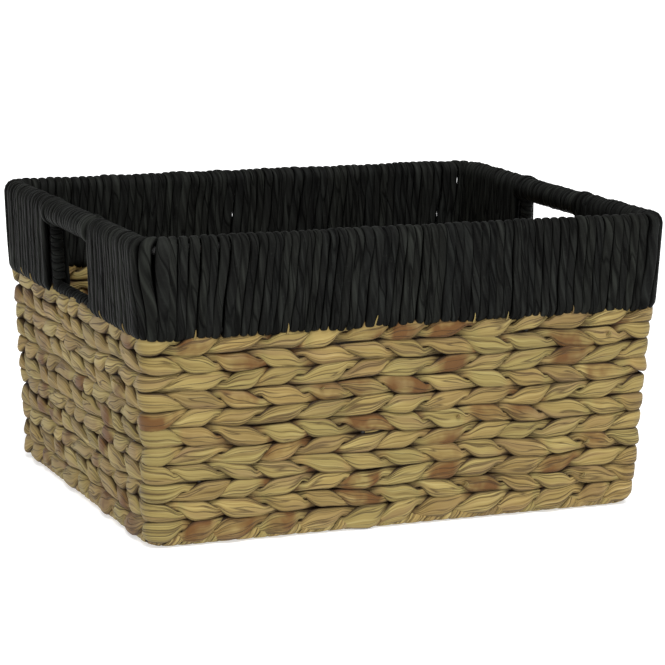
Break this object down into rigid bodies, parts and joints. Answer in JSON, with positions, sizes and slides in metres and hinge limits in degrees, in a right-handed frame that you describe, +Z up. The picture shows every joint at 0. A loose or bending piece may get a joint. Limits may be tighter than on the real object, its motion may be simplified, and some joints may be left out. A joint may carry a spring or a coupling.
{
  "type": "seagrass storage basket",
  "caption": "Open rectangular storage basket of twined seagrass over a wire frame, with a deep black paper cord rim band and a wrapped hand hole at each end.",
  "frame": {"origin": "centre of the footprint, on the floor the basket stands on", "axes": "+X along the long side, -Y the front, +Z up"},
  "size_m": [0.3734, 0.3056, 0.2],
  "materials": {
    "seagrass": "dry twined plant strands, straw and khaki with brown streaks, matte with a faint sheen along the fibres",
    "paper_cord": "twisted paper cord, charcoal black, matte",
    "frame_wire": "black lacquered steel wire, satin"
  },
  "bodies": {
    "root": {"back_band": "paper_cord", "back_left_post": "frame_wire", "back_right_post": "frame_wire", "back_stakes": "frame_wire", "band_struts": "frame_wire", "band_wire": "frame_wire", "base_cross_wires": "frame_wire", "base_row_01": "seagrass", "base_row_02": "seagrass", "base_row_03": "seagrass", "base_row_04": "seagrass", "base_row_05": "seagrass", "base_row_06": "seagrass", "base_row_07": "seagrass", "base_row_08": "seagrass", "base_row_09": "seagrass", "base_row_10": "seagrass", "base_row_11": "seagrass", "base_row_12": "seagrass", "base_row_13": "seagrass", "base_row_14": "seagrass", "base_row_15": "seagrass", "base_row_16": "seagrass", "base_row_17": "seagrass", "base_row_18": "seagrass", "base_row_19": "seagrass", "base_row_20": "seagrass", "base_wire": "frame_wire", "course_01": "seagrass", "course_02": "seagrass", "course_03": "seagrass", "course_04": "seagrass", "course_05": "seagrass", "course_06": "seagrass", "course_07": "seagrass", "course_08": "seagrass", "course_09": "seagrass", "course_10": "seagrass", "course_11": "seagrass", "foot_roll": "seagrass", "front_band": "paper_cord", "front_left_post": "frame_wire", "front_right_post": "frame_wire", "front_stakes": "frame_wire", "left_back_upright": "frame_wire", "left_back_upright_wrap": "paper_cord", "left_front_upright": "frame_wire", "left_front_upright_wrap": "paper_cord", "left_grip_wrap": "paper_cord", "left_sill_wrap": "paper_cord", "left_stakes": "frame_wire", "right_back_upright": "frame_wire", "right_back_upright_wrap": "paper_cord", "right_front_upright": "frame_wire", "right_front_upright_wrap": "paper_cord", "right_grip_wrap": "paper_cord", "right_sill_wrap": "paper_cord", "right_stakes": "frame_wire", "rim_wire": "frame_wire"}
  },
  "joints": []
}
